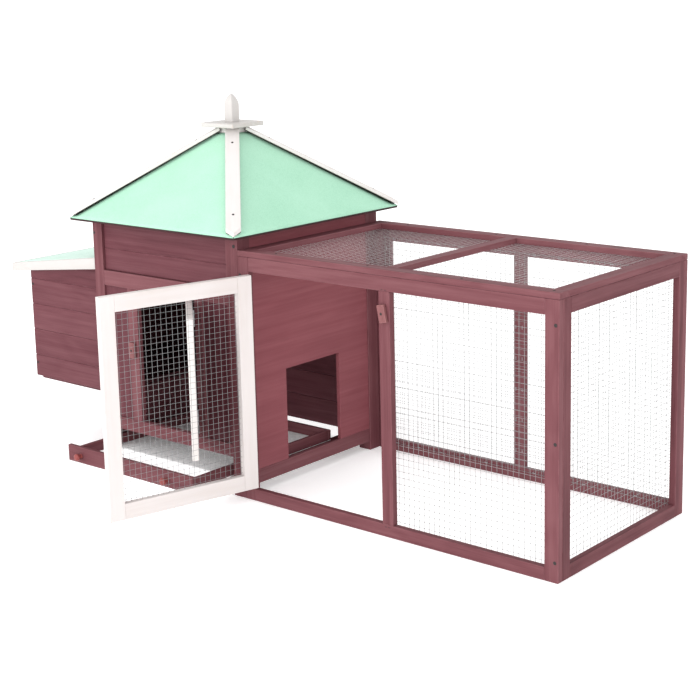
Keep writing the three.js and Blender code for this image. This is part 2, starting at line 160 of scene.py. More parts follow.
def wood(name, dark, mid, light, rough=0.62, knots=0.6, wear=0.35, grain=1.0):
    """Stained softwood. gc is a point in each board's own axes, in metres: along, across, through."""
    m, nt, b = new_mat(name)
    k = N(nt)
    p = k.attr("gc")
    tint = k.attr("tint", True)
    edge = k.attr("edge", True)
    # knots pull the grain round them
    kn = k.node("ShaderNodeTexVoronoi", feature="F1")
    k.put(kn.inputs["Vector"], k.vmul(p, (3.2, 9.0, 9.0)))
    kn.inputs["Scale"].default_value = 1.0
    kd = kn.outputs["Distance"]
    pull = k.map(kd, 0.0, 0.42, 0.55, 0.0)
    wob = k.noise(k.vmul(p, (1.6, 7.0, 7.0)), 1.0, 3.0, 0.5, 0.3)
    rings = k.math("SINE", k.math("MULTIPLY", k.math("ADD", wob, k.math("MULTIPLY", pull, 0.30 * knots)), 48.0))
    rings = k.map(rings, -1.0, 1.0, 0.0, 1.0)
    streak = k.noise(k.vmul(p, (1.7, 85.0, 85.0)), 1.0, 5.0, 0.60, 0.1)
    fibre = k.noise(k.vmul(p, (14.0, 520.0, 520.0)), 1.0, 3.0, 0.6)
    patch = k.noise(k.vmul(p, (2.6, 7.0, 7.0)), 1.0, 3.0, 0.5)
    # each term is centred on nought before they are added
    g = k.math("MULTIPLY", k.math("SUBTRACT", streak, 0.5), 0.85 * grain)
    g = k.math("ADD", g, k.math("MULTIPLY", k.math("SUBTRACT", rings, 0.5), 0.13 * grain))
    g = k.math("ADD", g, k.math("MULTIPLY", k.math("SUBTRACT", fibre, 0.5), 0.45 * grain))
    g = k.math("ADD", g, k.math("MULTIPLY", k.math("SUBTRACT", patch, 0.5), 0.75))
    g = k.math("ADD", g, k.math("MULTIPLY", tint, 0.16))
    g = k.math("ADD", g, 0.5)
    col = k.ramp(g, [(0.0, dark), (0.48, mid), (1.0, light)])
    spot = k.map(kd, 0.03, 0.085, 1.0, 0.0)
    rare = k.noise(k.vmul(p, (1.1, 2.1, 2.1)), 1.0, 1.0, 0.5)
    spot = k.math("MULTIPLY", spot, k.map(rare, 0.52, 0.60, 0.0, 0.75 * knots))
    col = k.mix(spot, col, tuple(x * 0.42 for x in dark))
    rub = k.math("MULTIPLY", edge, k.map(k.noise(k.vmul(p, (30, 30, 30)), 1.0, 2.0), 0.35, 0.65, 0.25, 1.0))
    col = k.mix(k.math("MULTIPLY", rub, wear), col, tuple(min(1, x * 1.45 + 0.03) for x in light))
    k.put(b.inputs["Base Color"], col)
    k.put(b.inputs["Roughness"], k.map(streak, 0.3, 0.7, rough + 0.08, rough - 0.08))
    h = k.math("ADD", k.math("MULTIPLY", fibre, 0.5), k.math("MULTIPLY", rings, 0.5))
    k.put(b.inputs["Normal"], k.bump(h, 0.35, 0.0005))
    b.inputs["Specular IOR Level"].default_value = 0.2
    return m


def white_paint(name, base=(0.86, 0.85, 0.83)):
    """White paint on softwood: brush lines, the grain showing faintly through, thin at the corners."""
    m, nt, b = new_mat(name)
    k = N(nt)
    p = k.attr("gc")
    edge = k.attr("edge", True)
    tint = k.attr("tint", True)
    brush = k.noise(k.vmul(p, (5.0, 300.0, 300.0)), 1.0, 3.0, 0.6)
    grain = k.noise(k.vmul(p, (2.5, 60.0, 60.0)), 1.0, 5.0, 0.6, 0.3)
    soft = k.noise(k.vmul(p, (5.0, 11.0, 11.0)), 1.0, 3.0, 0.5)
    v = k.math("ADD", k.math("MULTIPLY", grain, 0.5), k.math("MULTIPLY", soft, 0.5))
    v = k.math("ADD", v, k.math("MULTIPLY", tint, 0.05))
    col = k.ramp(k.map(v, 0.32, 0.68), [(0.0, tuple(x * f for x, f in zip(base, (0.925, 0.90, 0.875)))), (0.55, base), (1.0, tuple(min(1, x * 1.035) for x in base))])
    chip = k.noise(k.vmul(p, (60, 60, 60)), 1.0, 3.0, 0.6)
    chip = k.math("MULTIPLY", edge, k.map(chip, 0.56, 0.66, 0.0, 0.55))
    col = k.mix(chip, col, (0.50, 0.40, 0.33))
    k.put(b.inputs["Base Color"], col)
    k.put(b.inputs["Roughness"], k.map(soft, 0.3, 0.7, 0.42, 0.56))
    k.put(b.inputs["Normal"], k.bump(k.math("ADD", brush, k.math("MULTIPLY", grain, 0.7)), 0.22, 0.0004))
    return m


def felt(name, base):
    """Mineral felt: fine grit of pale green granules, faint blotches."""
    m, nt, b = new_mat(name)
    k = N(nt)
    p = k.objco()
    v = k.node("ShaderNodeTexVoronoi", feature="F1")
    k.put(v.inputs["Vector"], p)
    v.inputs["Scale"].default_value = 620.0
    cell = k.node("ShaderNodeSeparateColor")
    nt.links.new(v.outputs["Color"], cell.inputs[0])
    grit = cell.outputs[0]
    blotch = k.noise(p, 7.0, 4.0, 0.6)
    cloud = k.noise(p, 2.2, 2.0, 0.5)
    t = k.math("ADD", k.math("MULTIPLY", grit, 0.55), k.math("MULTIPLY", blotch, 0.75))
    col = k.ramp(k.map(t, 0.30, 1.0), [
        (0.0, tuple(x * f for x, f in zip(base, (0.86, 0.90, 0.88)))),
        (0.5, base),
        (1.0, tuple(min(0.97, x * f) for x, f in zip(base, (1.10, 1.04, 1.07))))])
    col = k.mix(k.map(cloud, 0.42, 0.75, 0.0, 0.22), col, tuple(x * f for x, f in zip(base, (1.03, 1.0, 0.90))))
    k.put(b.inputs["Base Color"], col)
    k.put(b.inputs["Roughness"], k.map(grit, 0.0, 1.0, 0.80, 0.95))
    b.inputs["Specular IOR Level"].default_value = 0.2
    k.put(b.inputs["Normal"], k.bump(v.outputs["Distance"], 0.45, 0.0006))
    return m


def metal(name, base, rough=0.4, metallic=0.85, spangle=0.0, scale=90.0):
    m, nt, b = new_mat(name)
    k = N(nt)
    p = k.objco()
    n1 = k.noise(p, scale, 4.0, 0.6)
    if spangle:
        v = k.node("ShaderNodeTexVoronoi", feature="F1")
        k.put(v.inputs["Vector"], p)
        v.inputs["Scale"].default_value = 95.0
        s = k.node("ShaderNodeSeparateColor")
        nt.links.new(v.outputs["Color"], s.inputs[0])
        t = k.math("ADD", k.math("MULTIPLY", s.outputs[0], spangle), k.math("MULTIPLY", n1, 1 - spangle))
    else:
        t = n1
    col = k.ramp(k.map(t, 0.25, 0.75), [(0.0, tuple(x * 0.86 for x in base)), (1.0, tuple(min(1, x * 1.08) for x in base))])
    k.put(b.inputs["Base Color"], col)
    b.inputs["Metallic"].default_value = metallic
    k.put(b.inputs["Roughness"], k.map(t, 0.2, 0.8, rough + 0.08, rough - 0.08))
    k.put(b.inputs["Normal"], k.bump(n1, 0.15, 0.0002))
    return m


EXPO = 0.70            # the studio is brighter than one, so that white ground clips; paint and stain are scaled to suit


def tone(c, f=1.0):
    return tuple(x * EXPO * f * g for x, g in zip(lin(c), (0.613, 0.472, 0.505)))


M_BOARD = wood("red_boards", tone((104, 56, 64)), tone((134, 82, 90)), tone((158, 108, 114)), knots=0.55)
# red_ply_lit: the boards' stain lightened 1.79 times, painted light that lifts the right wall out of the shade it
# stands in under the roof and the run's top mesh
M_PLY_LIT = wood("red_ply_lit", tone((120, 68, 74), 1.79), tone((138, 84, 89), 1.79), tone((156, 102, 105), 1.79), knots=0.25, grain=0.7, wear=0.2)
M_FRAME = wood("red_framing", tone((114, 66, 72)), tone((150, 99, 104)), tone((176, 128, 131)), knots=0.8)
M_WHITE = white_paint("white_paint", (0.590, 0.547, 0.535))
# white_trim_shaded: a darker copy of the white paint, painted shade that keeps the lamp-lit fascia, finial plate and
# spire from clipping white
M_TRIM_SHADED = white_paint("white_trim_shaded", (0.497, 0.475, 0.460))
# white_house_door_lit: a brighter copy of the white paint, painted light against the shade the header and eave cast on
# the open house door
M_DOOR_LIT = white_paint("white_house_door_lit", (0.650, 0.620, 0.605))
# white_hips_lit: a brighter copy of the white paint, painted light on the hip strips and finial block, which face the
# sky
M_HIP_LIT = white_paint("white_hips_lit", (0.650, 0.616, 0.603))
M_FELT = felt("green_felt", (0.372, 0.645, 0.485))
# green_felt_lid_lit: a paler copy of the green felt for the nest lid, painted light standing in for the key light on
# the lid
M_FELT_LID_LIT = felt("green_felt_lid_lit", (0.60, 0.765, 0.69))
M_DECK = wood("roof_deck", tone((52, 34, 36)), tone((78, 52, 53)), tone((104, 74, 72)), knots=0.4)
# near_black_hip_layer: a near-black layer under each hip strip, which draws the dark line along the strip's edges
M_DARK = wood("near_black_hip_layer", (0.012, 0.009, 0.008), (0.020, 0.016, 0.014), (0.035, 0.027, 0.022), knots=0.2)
M_BITUMEN = metal("felt_edge", (0.020, 0.032, 0.028), rough=0.8, metallic=0.0, scale=300)
M_WIRE = metal("galvanised_wire", (0.27, 0.270, 0.272), rough=0.55, metallic=0.15, scale=220)
# galvanised_wire_door_shaded: a darker copy of the galvanised wire for the run door's mesh, painted shade
M_WIRE_DOOR_SHADED = metal("galvanised_wire_door_shaded", (0.23, 0.232, 0.235), rough=0.55, metallic=0.15, scale=220)
# galvanised_wire_top_lit: the galvanised wire nearly twice as bright for the run's top mesh, painted light on wires
# that face the sky
M_WIRE_TOP_LIT = metal("galvanised_wire_top_lit", (0.50, 0.49, 0.49), rough=0.55, metallic=0.15, scale=220)
M_SHEET = metal("galvanised_sheet", (0.95, 0.955, 0.96), rough=0.5, metallic=0.05, spangle=0.6)
_sheet = [n for n in M_SHEET.node_tree.nodes if n.type == "BSDF_PRINCIPLED"][0]
_sheet.inputs["Emission Color"].default_value = (1, 1, 1, 1)
_k = N(M_SHEET.node_tree)      # painted light: the sheet glows where it stands out in front of the house, most strongly next to the house front where it lies in shade, and hardly at all under the house
_sep = _k.node("ShaderNodeSeparateXYZ")
_k.put(_sep.inputs[0], _k.objco())
_k.put(_sheet.inputs["Emission Strength"], _k.math("MULTIPLY", _k.map(_sep.outputs[1], -0.249, -0.112, 0.30, 0.62), _k.map(_sep.outputs[1], -0.110, -0.100, 1.0, 0.02)))
M_ZINC = metal("zinc_hardware", (0.50, 0.50, 0.51), rough=0.35, metallic=0.9, scale=150)
M_SCREW = metal("dark_screws", (0.022, 0.015, 0.015), rough=0.6, metallic=0.2, scale=300)
M_KNOB = wood("knob_wood", tone((142, 70, 66)), tone((190, 106, 100)), tone((212, 130, 122)), rough=0.38, knots=0.0, wear=0.1)
M_BUTTON = wood("button_wood", tone((146, 98, 100)), tone((176, 128, 126)), tone((198, 152, 148)), knots=0.2)

# ------------------------------------------------------------------ mesh building
SIGNS = [(a, b, c) for a in (-1, 1) for b in (-1, 1) for c in (-1, 1)]
VIDX = {}
for _s in SIGNS:
    for _k in range(3):
        VIDX[(_s, _k)] = len(VIDX)


def _flip(s, j):
    t = list(s)
    t[j] = -t[j]
    return tuple(t)


TEMPLATE = []          # (indices, is_edge)
for _k in range(3):
    _i, _j = [a for a in range(3) if a != _k]
    for _sg in (-1, 1):
        loop = []
        for a, b in ((-1, -1), (1, -1), (1, 1), (-1, 1)):
            s = [0, 0, 0]
            s[_k], s[_i], s[_j] = _sg, a, b
            loop.append(VIDX[(tuple(s), _k)])
        TEMPLATE.append((loop, 0))
for _k in range(3):        # chamfers run along axis k
    _i, _j = [a for a in range(3) if a != _k]
    for a in (-1, 1):
        for b in (-1, 1):
            s = [0, 0, 0]
            s[_i], s[_j] = a, b
            s[_k] = -1
            lo_s = tuple(s)
            hi_s = _flip(lo_s, _k)
            TEMPLATE.append(([VIDX[(lo_s, _i)], VIDX[(hi_s, _i)], VIDX[(hi_s, _j)], VIDX[(lo_s, _j)]], 1))
for _s in SIGNS:
    TEMPLATE.append(([VIDX[(_s, 0)], VIDX[(_s, 1)], VIDX[(_s, 2)]], 1))
_unit = np.zeros((24, 3))
for (_s, _k), _n in VIDX.items():
    _unit[_n] = [_s[j] * (1 if j == _k else 0.8) for j in range(3)]
for _n, (loop, e) in enumerate(TEMPLATE):
    p = _unit[loop]
    nrm = np.cross(p[1] - p[0], p[2] - p[0])
    if nrm @ p.mean(0) < 0:
        TEMPLATE[_n] = (loop[::-1], e)


class Build:
    """Collects closed chamfered boards and other closed solids into one mesh, with the grain's own coordinates."""
    def __init__(self):
        self.v, self.f, self.gc, self.tint, self.edge, self.mat, self.smooth = [], [], [], [], [], [], []

    def hexa(self, c, along=0, b=0.0012, tint=None, mat=0, place=None, gc_shift=None):
        """c[ix][iy][iz] are the corners, as Vectors in metres."""
        c = np.array(c, float).reshape(2, 2, 2, 3)
        ln = [np.linalg.norm(c[1].mean((0, 1)) - c[0].mean((0, 1))),
              np.linalg.norm(c[:, 1].mean((0, 1)) - c[:, 0].mean((0, 1))),
              np.linalg.norm(c[:, :, 1].mean((0, 1)) - c[:, :, 0].mean((0, 1)))]
        bb = min(b, 0.3 * min(ln))
        n0 = len(self.v)
        off = rng.uniform(0, 40, 3) if gc_shift is None else np.array(gc_shift)
        order = {0: (0, 1, 2), 1: (1, 0, 2), 2: (2, 0, 1)}[along]
        for (s, k), n in sorted(VIDX.items(), key=lambda q: q[1]):
            t = [s[j] * (1 if j == k else 1 - 2 * bb / ln[j]) for j in range(3)]
            w = [((1 - x) / 2, (1 + x) / 2) for x in t]
            p = np.zeros(3)
            for i in (0, 1):
                for j in (0, 1):
                    for q in (0, 1):
                        p += w[0][i] * w[1][j] * w[2][q] * c[i, j, q]
            self.v.append(place @ Vector(p) if place is not None else Vector(p))
            g = [t[j] * ln[j] / 2 for j in range(3)]
            self.gc.append([g[order[0]] + off[0], g[order[1]] + off[1], g[order[2]] + off[2]])
        tv = rng.uniform(-1, 1) if tint is None else tint
        self.tint += [tv] * 24
        vol = np.dot(np.cross(c[1, 0, 0] - c[0, 0, 0], c[0, 1, 0] - c[0, 0, 0]), c[0, 0, 1] - c[0, 0, 0])
        for loop, e in TEMPLATE:
            lp = loop if vol > 0 else loop[::-1]
            self.f.append([n0 + i for i in lp])
            self.edge.append(float(e))
            self.mat.append(mat)
            self.smooth.append(False)
        return self

    def box(self, x, y, z, along=0, b=0.0012, tint=None, mat=0, place=None):
        """x, y and z are pairs in design millimetres, or in metres in a door's own axes where place is given."""
        if place is None:
            f = lambda i, j, k: row(x[i], y[j], z[k])
        else:
            f = lambda i, j, k: Vector((x[i] / 1000, y[j] / 1000, z[k] / 1000))
        return self.hexa([[[f(i, j, k) for k in (0, 1)] for j in (0, 1)] for i in (0, 1)], along, b, tint, mat, place)

    def holed(self, x, y, z, hy, hz, mat=0):
        """A plate across x with a rectangular opening reaching its lower edge: three boards' worth of one continuous sheet."""
        o = [[(y[0], z[0]), (hy[0], z[0]), (hy[0], hz[1]), (hy[1], hz[1]), (hy[1], z[0]), (y[1], z[0]), (y[1], z[1]), (y[0], z[1])]][0]
        n0 = len(self.v)
        b = 1.0
        inset = []
        k = len(o)
        for i in range(k):
            p0, p1, p2 = o[i - 1], o[i], o[(i + 1) % k]
            d1 = ((p1[0] - p0[0]), (p1[1] - p0[1])); d2 = ((p2[0] - p1[0]), (p2[1] - p1[1]))
            l1, l2 = math.hypot(*d1), math.hypot(*d2)
            n1, n2 = (-d1[1] / l1, d1[0] / l1), (-d2[1] / l2, d2[0] / l2)
            inset.append((p1[0] + b * (n1[0] + n2[0]), p1[1] + b * (n1[1] + n2[1])))
        rings = [(x[0], inset), (x[0] + b, o), (x[1] - b, o), (x[1], inset)]
        for xx, pts in rings:
            for p in pts:
                self.v.append(row(xx, p[0], p[1]))
                self.gc.append([p[0] / 1000 + 7.3, p[1] / 1000 + 2.1, xx / 1000 + 4.4])
                self.tint.append(0.0)
        for r_ in range(3):
            for i in range(k):
                j = (i + 1) % k
                self.f.append([n0 + r_ * k + i, n0 + r_ * k + j, n0 + (r_ + 1) * k + j, n0 + (r_ + 1) * k + i][::-1])
                self.edge.append(0.0 if r_ == 1 else 1.0); self.mat.append(mat); self.smooth.append(False)
        # the two broad faces, in quads round the opening
        for r_, fl in ((0, False), (3, True)):
            q = lambda i: n0 + r_ * k + i
            for loop in ([q(0), q(1), q(2), q(7)], [q(7), q(2), q(3), q(6)], [q(6), q(3), q(4), q(5)]):
                self.f.append(loop if fl else loop[::-1])
                self.edge.append(0.0); self.mat.append(mat); self.smooth.append(False)
        return self

    def ring(self, centre, axis, profile, seg=24, mat=0, smooth=True, tint=0.0, start=0.0):
        """A turned solid. profile is (radius, height) in metres, from the axis back to the axis."""
        axis = Vector(axis).normalized()
        side = axis.orthogonal().normalized()
        up = axis.cross(side)
        n0 = len(self.v)
        off = rng.uniform(0, 40, 3)
        rows = []
        for r, h in profile:
            if r < 1e-9:
                rows.append([len(self.v)])
                p = centre + axis * h
                self.v.append(p)
                self.gc.append([off[0] + h, off[1], off[2]])
                self.tint.append(tint)
            else:
                idx = []
                for i in range(seg):
                    a = 2 * math.pi * i / seg + start
                    idx.append(len(self.v))
                    self.v.append(centre + axis * h + side * (r * math.cos(a)) + up * (r * math.sin(a)))
                    self.gc.append([off[0] + h, off[1] + r * math.cos(a), off[2] + r * math.sin(a)])
                    self.tint.append(tint)
                rows.append(idx)
        for a, b in zip(rows[:-1], rows[1:]):
            for i in range(seg):
                j = (i + 1) % seg
                if len(a) == 1 and len(b) == 1:
                    continue
                if len(a) == 1:
                    q = [a[0], b[j], b[i]]
                elif len(b) == 1:
                    q = [a[i], a[j], b[0]]
                else:
                    q = [a[i], a[j], b[j], b[i]]
                self.f.append(q)
                self.edge.append(0.0)
                self.mat.append(mat)
                self.smooth.append(smooth)
        return self

    def wire(self, pts, r, mat=0, sides=4):
        """A thin closed wire through pts."""
        pts = [Vector(p) for p in pts]
        d = (pts[-1] - pts[0]).normalized()
        s = d.orthogonal().normalized()
        u = d.cross(s)
        rows = []
        off = rng.uniform(0, 40, 3)
        for p in pts:
            idx = []
            for i in range(sides):
                a = 2 * math.pi * i / sides
                idx.append(len(self.v))
                self.v.append(p + s * (r * math.cos(a)) + u * (r * math.sin(a)))
                self.gc.append(list(off))
                self.tint.append(0.0)
            rows.append(idx)
        for a, b in zip(rows[:-1], rows[1:]):
            for i in range(sides):
                j = (i + 1) % sides
                self.f.append([a[i], a[j], b[j], b[i]])
                self.edge.append(0.0); self.mat.append(mat); self.smooth.append(True)
        self.f.append(rows[0][::-1]); self.f.append(rows[-1])
        self.edge += [0.0, 0.0]; self.mat += [mat, mat]; self.smooth += [False, False]
        return self

    def object(self, name, mats, body, slot, replaces=(), fix=False):
        me = bpy.data.meshes.new(name)
        me.from_pydata([tuple(p) for p in self.v], [], self.f)
        for m in mats:
            me.materials.append(m)
        me.polygons.foreach_set("material_index", self.mat)
        me.polygons.foreach_set("use_smooth", self.smooth)
        a = me.attributes.new("gc", "FLOAT_VECTOR", "POINT")
        a.data.foreach_set("vector", np.array(self.gc, np.float32).ravel())
        a = me.attributes.new("tint", "FLOAT", "POINT")
        a.data.foreach_set("value", np.array(self.tint, np.float32))
        a = me.attributes.new("edge", "FLOAT", "FACE")
        a.data.foreach_set("value", np.array(self.edge, np.float32))
        if fix:
            bm = bmesh.new(); bm.from_mesh(me)
            bmesh.ops.recalc_face_normals(bm, faces=bm.faces)
            bm.to_mesh(me); bm.free()
        me.update()
        ob = bpy.data.objects.new(name, me)
        bpy.context.scene.collection.objects.link(ob)
        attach(ob, body)
        if replaces:
            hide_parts(*replaces)
        return ob


def node_range(node):
    """A node's box in design millimetres."""
    a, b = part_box(node)
    f = lambda p: ((p.x - OX) * 1000, (p.y - OY) * 1000, p.z * 1000)
    a, b = f(a), f(b)
    return [(a[i], b[i]) for i in range(3)]


def splits(a, b, cuts):
    e = [a] + [c for c in cuts if a < c < b] + [b]
    return list(zip(e[:-1], e[1:]))


# ------------------------------------------------------------------ house
def one_board(node, along, mat=M_FRAME, slot="red_framing", body="root", b=0.0013, tint=None):
    x, y, z = node_range(node)
    Build().box(x, y, z, along, b, tint).object(node + "_board", [mat], body, slot, [node])


for n in ("post_front_left", "post_front_right", "post_back_left", "post_back_right"):
    one_board(n, 2, tint=rng.uniform(-0.3, 0.5))
one_board("front_header_rail", 0, tint=0.9)
one_board("front_sill_rail", 0, tint=0.3)
one_board("front_left_stile", 2, tint=0.5)
one_board("front_right_stile", 2, tint=0.1)
one_board("front_left_panel", 2, M_BOARD, "red_boards", tint=-0.2)
one_board("front_right_panel", 2, M_BOARD, "red_boards", tint=-0.6)


def boarded(node, flat, along, cuts, groove=0.0022, hole=None, mat=M_BOARD, slot="red_boards", tints=None, body="root"):
    """A wall of tongue-and-groove boards lying along axis `along`, stacked in Z. flat is the thin axis. hole is (range along, range in z)."""
    x, y, z = node_range(node)
    r = [x, y, z]
    bd = Build()
    for i, (z0, z1) in enumerate(splits(z[0], z[1], cuts)):
        runs = [r[along]]
        if hole and z0 >= hole[1][0] - 1 and z1 <= hole[1][1] + 1:
            runs = [(r[along][0], hole[0][0]), (hole[0][1], r[along][1])]
        t = rng.uniform(-0.5, 0.5) if tints is None else tints[i % len(tints)]
        for run in runs:
            q = [None, None, (z0 + 0.1, z1 - 0.1)]
            q[along] = run
            q[flat] = r[flat]
            bd.box(q[0], q[1], q[2], along, groove, t + rng.uniform(-0.08, 0.08))
    bd.object(node + "_boards", [mat], body, slot, [node])


boarded("front_upper_boards", 1, 0, [625, 703], tints=[-0.1, 0.15, -0.25])
boarded("wall_left", 0, 1, [110, 190.5, 270, 354, 439, 523.5, 600, 670], hole=((80, 478), (188.8, 523.5)))

# the right wall: one smooth panel with the pop hole, in the lightened stain that is painted light, on a base rail
x, y, z = node_range("wall_right")
bd = Build()
bd.box(x, y, (z[0], 64.8), 1, 0.0012, 0.35, mat=1)
bd.holed(x, y, (65.1, z[1]), (175, 394), (65.1, 318))
bd.object("wall_right_panel", [M_PLY_LIT, M_FRAME], "root", "red_boards", ["wall_right"])
boarded("wall_back", 1, 0, [112, 190, 268, 346, 424, 502, 580, 658])

# nest box
LX0, LX1 = -957.0, -567.5
lid_top = lambda x: 538 + (591.5 - 538) * (x - LX0) / (LX1 - LX0)
lid_low = lambda x: 514 + (558.6 - 514) * (x - LX0) / (LX1 - LX0)
lid_under = lambda x: lid_top(x) - 10.094
for node in ("nest_front_panel", "nest_back_panel"):
    x, y, z = node_range(node)
    bd = Build()
    for (z0, z1), t in zip(splits(196, 560, [261, 341, 418, 495]), [0.35, 0.15, 0.45, 0.2, 0.3]):
        if z1 < 560:
            bd.box(x, y, (z0 + 0.1, z1 - 0.1), 0, 0.0022, t)
        else:
            top = [lid_under(x[0]) - 1.4, lid_under(x[1]) - 1.4]
            bd.hexa([[[row(x[i], y[j], (z0 + 0.1, top[i])[k]) for k in (0, 1)] for j in (0, 1)] for i in (0, 1)], 0, 0.0022, t)
    bd.object(node + "_boards", [M_BOARD], "root", "red_boards", [node])
boarded("nest_outer_panel", 0, 1, [261, 341, 418, 495])
one_board("nest_floor", 0, M_BOARD, "red_boards")

# lid: fascia on three sides round a felted board
bd = Build()
bd.hexa([[[row((LX0, LX1)[i], (10, 20)[j], (lid_low((LX0, LX1)[i]), lid_top((LX0, LX1)[i]))[k]) for k in (0, 1)] for j in (0, 1)] for i in (0, 1)], 0, 0.0012, 0.2)
bd.hexa([[[row((LX0, LX1)[i], (562, 572)[j], (lid_low((LX0, LX1)[i]), lid_top((LX0, LX1)[i]))[k]) for k in (0, 1)] for j in (0, 1)] for i in (0, 1)], 0, 0.0012, -0.2)
bd.hexa([[[row((LX0 + 0.1, LX0 + 12)[i], (20.1, 561.9)[j], (lid_low((LX0, LX0 + 12)[i]), lid_top((LX0, LX0 + 12)[i]))[k]) for k in (0, 1)] for j in (0, 1)] for i in (0, 1)], 1, 0.0012, 0.0)
bd.object("lid_fascia_boards", [M_TRIM_SHADED], "nest_lid", "white_paint", ["nest_lid_fascia"])
bd = Build()
a0, a1 = LX0 + 12.3, LX1
bd.hexa([[[row((a0, a1)[i], (20.3, 561.7)[j], (lid_under((a0, a1)[i]), lid_top((a0, a1)[i]) - 2.6)[k]) for k in (0, 1)] for j in (0, 1)] for i in (0, 1)], 1, 0.0008, 0.1)
bd.object("lid_deck_board", [M_DECK], "nest_lid", "green_felt", ["nest_lid_board"])


def felt_sheet(name, corner, body, n=28, thick=0.0022, wave=0.0006, seed=1):
    """A felt sheet over four corners (two eave, two top), a gently uneven closed slab."""
    r = np.random.default_rng(seed)
    ph = r.uniform(0, 6.28, 6)
    c = [Vector(p) for p in corner]
    nrm = (c[1] - c[0]).cross(c[3] - c[0]).normalized()
    if nrm.z < 0:
        nrm = -nrm
    top, low = [], []
    for j in range(n + 1):
        for i in range(n + 1):
            u, v = i / n, j / n
            p = (c[0] * (1 - u) + c[1] * u) * (1 - v) + (c[3] * (1 - u) + c[2] * u) * v
            e = math.sin(math.pi * u) * math.sin(math.pi * v)
            w = wave * e * (math.sin(9 * u + ph[0]) * math.sin(7 * v + ph[1]) + 0.6 * math.sin(23 * u + ph[2] + 4 * v) + 0.5 * math.sin(17 * v + ph[3] - 6 * u))
            top.append(p + nrm * (thick + abs(w)))
            low.append(p)
    bd = Build()
    bd.v = top + low
    k = (n + 1) ** 2
    f = []
    for j in range(n):
        for i in range(n):
            a = j * (n + 1) + i
            f.append([a, a + 1, a + n + 2, a + n + 1])
            f.append([k + a, k + a + n + 1, k + a + n + 2, k + a + 1])
    rim = [i for i in range(n + 1)] + [j * (n + 1) + n for j in range(1, n + 1)] + [n * (n + 1) + i for i in range(n - 1, -1, -1)] + [j * (n + 1) for j in range(n - 1, 0, -1)]
    nr = len(rim)
    m = [0, 0] * (n * n)
    for a, b in zip(rim, rim[1:] + rim[:1]):
        f.append([a, k + a, k + b, b])
        m.append(1)
    bd.f, bd.mat = f, m
    bd.gc = [list(p) for p in bd.v]
    bd.tint = [0.0] * len(bd.v)
    bd.edge = [0.0] * len(f)
    bd.smooth = [True] * (2 * n * n) + [False] * nr
    return bd.object(name, [M_FELT if body == "root" else M_FELT_LID_LIT, M_BITUMEN], body, "green_felt", fix=True)


felt_sheet("lid_felt", [row(a0, 20.5, lid_top(a0) - 2.5), row(a1, 20.5, lid_top(a1) - 2.5), row(a1, 561.5, lid_top(a1) - 2.5), row(a0, 561.5, lid_top(a0) - 2.5)], "nest_lid", n=20, seed=5)

# ------------------------------------------------------------------ roof
EX, EY = (-610.0, 31.0), (-41.0, 628.0)
RCX, RCY = sum(EX) / 2, sum(EY) / 2
RHX, RHY = (EX[1] - EX[0]) / 2, (EY[1] - EY[0]) / 2
EZ, AZ, RT, CX = 711.0, 958.0, 7.5, 28.0
CZ = AZ - (AZ - EZ) / RHX * CX
CY = (AZ - CZ) / ((AZ - EZ) / RHY)
g = 0.25
PLANS = {
    "front": [(-RHX + g, -RHY), (RHX - g, -RHY), (CX - g, -CY), (-CX + g, -CY)],
    "right": [(RHX, -RHY + g), (RHX, RHY - g), (CX, CY - g), (CX, -CY + g)],
    "back": [(RHX - g, RHY), (-RHX + g, RHY), (-CX + g, CY), (CX - g, CY)],
    "left": [(-RHX, RHY - g), (-RHX, -RHY + g), (-CX, -CY + g), (-CX, CY - g)],
}
for i, (side, plan) in enumerate(PLANS.items()):
    zt = [EZ, EZ, CZ, CZ]
    P = [row(RCX + p[0], RCY + p[1], z) for p, z in zip(plan, zt)]
    dn = Vector((0, 0, -RT / 1000))
    ft = Vector((0, 0, -2.9 / 1000))
    bd = Build()
    c = [[[P[0] + dn, P[0] + ft], [P[3] + dn, P[3] + ft]], [[P[1] + dn, P[1] + ft], [P[2] + dn, P[2] + ft]]]
    bd.hexa(c, 0, 0.0004, 0.0)
    bd.object(f"roof_deck_{side}", [M_DECK], "root", "green_felt", [f"roof_panel_{side}"])
    felt_sheet(f"roof_felt_{side}", [p + ft * 0.98 for p in P], "root", n=30, thick=0.0020, wave=0.0004, seed=11 + i)


